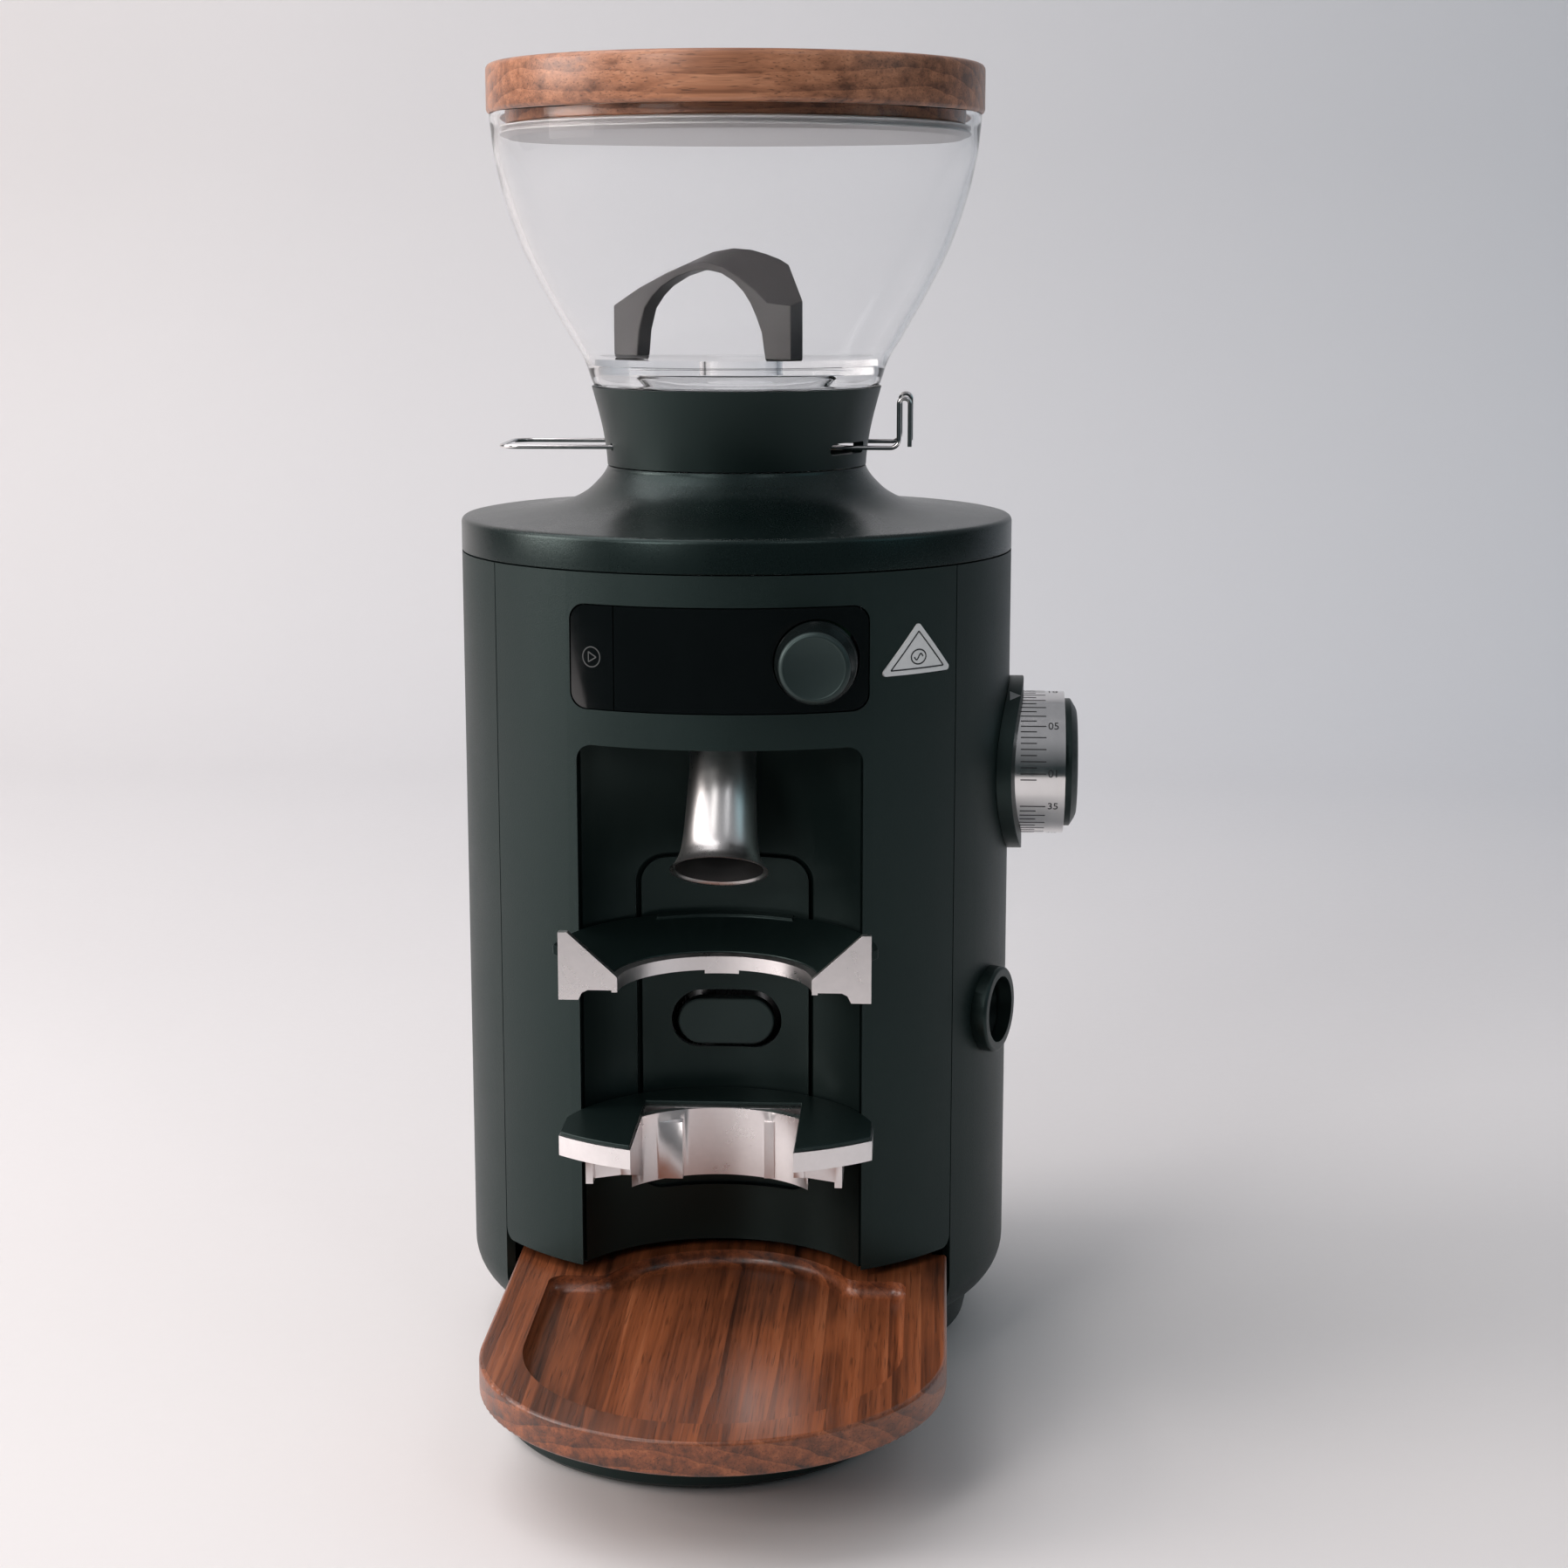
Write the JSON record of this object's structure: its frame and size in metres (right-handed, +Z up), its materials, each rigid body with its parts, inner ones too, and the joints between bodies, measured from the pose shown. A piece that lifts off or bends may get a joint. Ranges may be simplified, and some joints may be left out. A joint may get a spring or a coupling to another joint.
{
  "type": "burr coffee grinder",
  "caption": "Round-bodied countertop burr coffee grinder with a clear hopper, side grind dial, hands-free portafilter fork and a wooden lid and tray.",
  "frame": {"origin": "on the floor under the axis of the round body, at the centre of the rubber foot ring", "axes": "+Z up along the body axis, -Y out of the front (fork, spout and tray), +X towards the grind dial"},
  "size_m": [0.1978, 0.2895, 0.408],
  "materials": {
    "black_coat": "matte fine-textured powder coat",
    "black_plastic": "fine matte moulding",
    "gloss_black": "glossy black panel",
    "knob_grey": "dark grey soft-touch",
    "walnut": "oiled walnut",
    "clear": "clear moulded plastic",
    "handle_grey": "mid grey moulding",
    "bright_steel": "polished",
    "cast_satin": "satin die-cast",
    "steel": "machined steel",
    "cast": "raw die-cast",
    "board_green": "circuit board",
    "part_grey": "moulded components",
    "copper": "wound copper",
    "brass": "plated pins",
    "rubber": "matte rubber",
    "label": "satin pale plate"
  },
  "bodies": {
    "root": {"base": "black_coat", "foot_ring": "rubber", "front_pads": "rubber", "rear_shell": "black_coat", "front_cover": "black_coat", "niche_liner": "black_plastic", "top_cap": "black_coat", "hopper_collar": "black_plastic", "hopper": "clear", "hopper_throat": "clear", "display_panel": "gloss_black", "encoder": "steel", "control_board": "board_green", "board_frame": "part_grey", "badge_plate": "label", "dial_ring": "black_plastic", "deck": "cast", "posts": "steel", "motor_housing": "steel", "stator": "copper", "bearings": "steel", "chamber_stand": "cast", "burr_chamber": "cast", "chute": "black_plastic", "spout": "bright_steel", "lower_fork": "cast_satin", "fork_plate": "black_plastic", "switch_collar": "black_plastic", "switch_frame": "black_plastic", "mains_inlet": "black_plastic", "inlet_pins": "brass", "power_board": "board_green", "board_parts": "part_grey", "rear_screws": "steel"},
    "lid": {"lid": "walnut", "lid_seal": "rubber"},
    "gate": {"gate_disc": "clear", "gate_handle": "handle_grey"},
    "clip": {"hopper_clip": "bright_steel"},
    "start_key": {"start_key": "gloss_black"},
    "stem": {"knob_stem": "steel"},
    "knob": {"knob": "knob_grey"},
    "carriage": {"slide_panel": "black_plastic", "upper_fork": "black_plastic", "fork_bracket": "cast_satin", "fork_screws": "steel"},
    "release": {"release_button": "knob_grey"},
    "dial": {"dial_scale": "bright_steel", "dial_cap": "black_plastic", "dial_shaft": "steel"},
    "lay": {"lay_shaft": "steel"},
    "ring": {"adjust_ring": "brass"},
    "carrier": {"burr_carrier": "cast", "upper_burr": "steel", "burr_screws": "steel"},
    "rotor": {"rotor": "steel", "burr_hub": "steel", "lower_burr": "steel"},
    "rocker": {"power_rocker": "gloss_black"},
    "tray": {"tray": "walnut"}
  },
  "joints": [
    {"name": "lid_lift", "type": "slide", "parent": "root", "child": "lid", "axis": [0, 0, 1], "range_m": [0, 0.05]},
    {"name": "gate_turn", "type": "hinge", "parent": "root", "child": "gate", "pos_m": [0, 0, 0.3172], "axis": [0, 0, 1], "range_deg": [0, 90]},
    {"name": "clip_pull", "type": "slide", "parent": "root", "child": "clip", "axis": [-1, 0, 0], "range_m": [0, 0.008]},
    {"name": "start_push", "type": "slide", "parent": "root", "child": "start_key", "axis": [0.4321, 0.9018, 0], "range_m": [0, 0.0005], "stiffness_N_per_m": 1500},
    {"name": "knob_push", "type": "slide", "parent": "root", "child": "stem", "axis": [0, 1, 0], "range_m": [0, 0.0008], "stiffness_N_per_m": 1500},
    {"name": "knob_turn", "type": "hinge", "parent": "stem", "child": "knob", "pos_m": [0.0292, -0.09, 0.232], "axis": [0, -1, 0], "continuous": true},
    {"name": "fork_slide", "type": "slide", "parent": "root", "child": "carriage", "axis": [0, 0, 1], "range_m": [-0.012, 0]},
    {"name": "release_push", "type": "slide", "parent": "carriage", "child": "release", "axis": [0, 1, 0], "range_m": [0, 0.0025], "stiffness_N_per_m": 800},
    {"name": "dial_turn", "type": "hinge", "parent": "root", "child": "dial", "pos_m": [0.1, 0, 0.1883], "axis": [1, 0, 0], "range_deg": [-93, 255]},
    {"name": "lay_turn", "type": "hinge", "parent": "root", "child": "lay", "pos_m": [0.062, 0, 0.22], "axis": [0, 0, 1], "range_deg": [-260, 98]},
    {"name": "ring_turn", "type": "hinge", "parent": "root", "child": "ring", "pos_m": [0, 0, 0.246], "axis": [0, 0, 1], "range_deg": [-21.73, 60.85]},
    {"name": "burr_lift", "type": "slide", "parent": "root", "child": "carrier", "axis": [0, 0, 1], "range_m": [-0.00022, 0.0006], "stiffness_N_per_m": 0.2, "springref_m": 12.58526},
    {"name": "rotor_spin", "type": "hinge", "parent": "root", "child": "rotor", "pos_m": [0, 0, 0.1], "axis": [0, 0, 1], "continuous": true},
    {"name": "power_rock", "type": "hinge", "parent": "root", "child": "rocker", "pos_m": [0.07973, -0.0306, 0.114], "axis": [0.3584, 0.9336, 0], "range_deg": [0, 12]},
    {"name": "tray_pull", "type": "slide", "parent": "root", "child": "tray", "axis": [0, -1, 0], "range_m": [0, 0.06]}
  ],
  "couplings": [
    {"joint": "dial_turn", "follows": "ring_turn", "ratio": 4.1417},
    {"joint": "lay_turn", "follows": "ring_turn", "ratio": -4.1417},
    {"joint": "burr_lift", "follows": "ring_turn", "m_per_rad": 0.00047746}
  ]
}
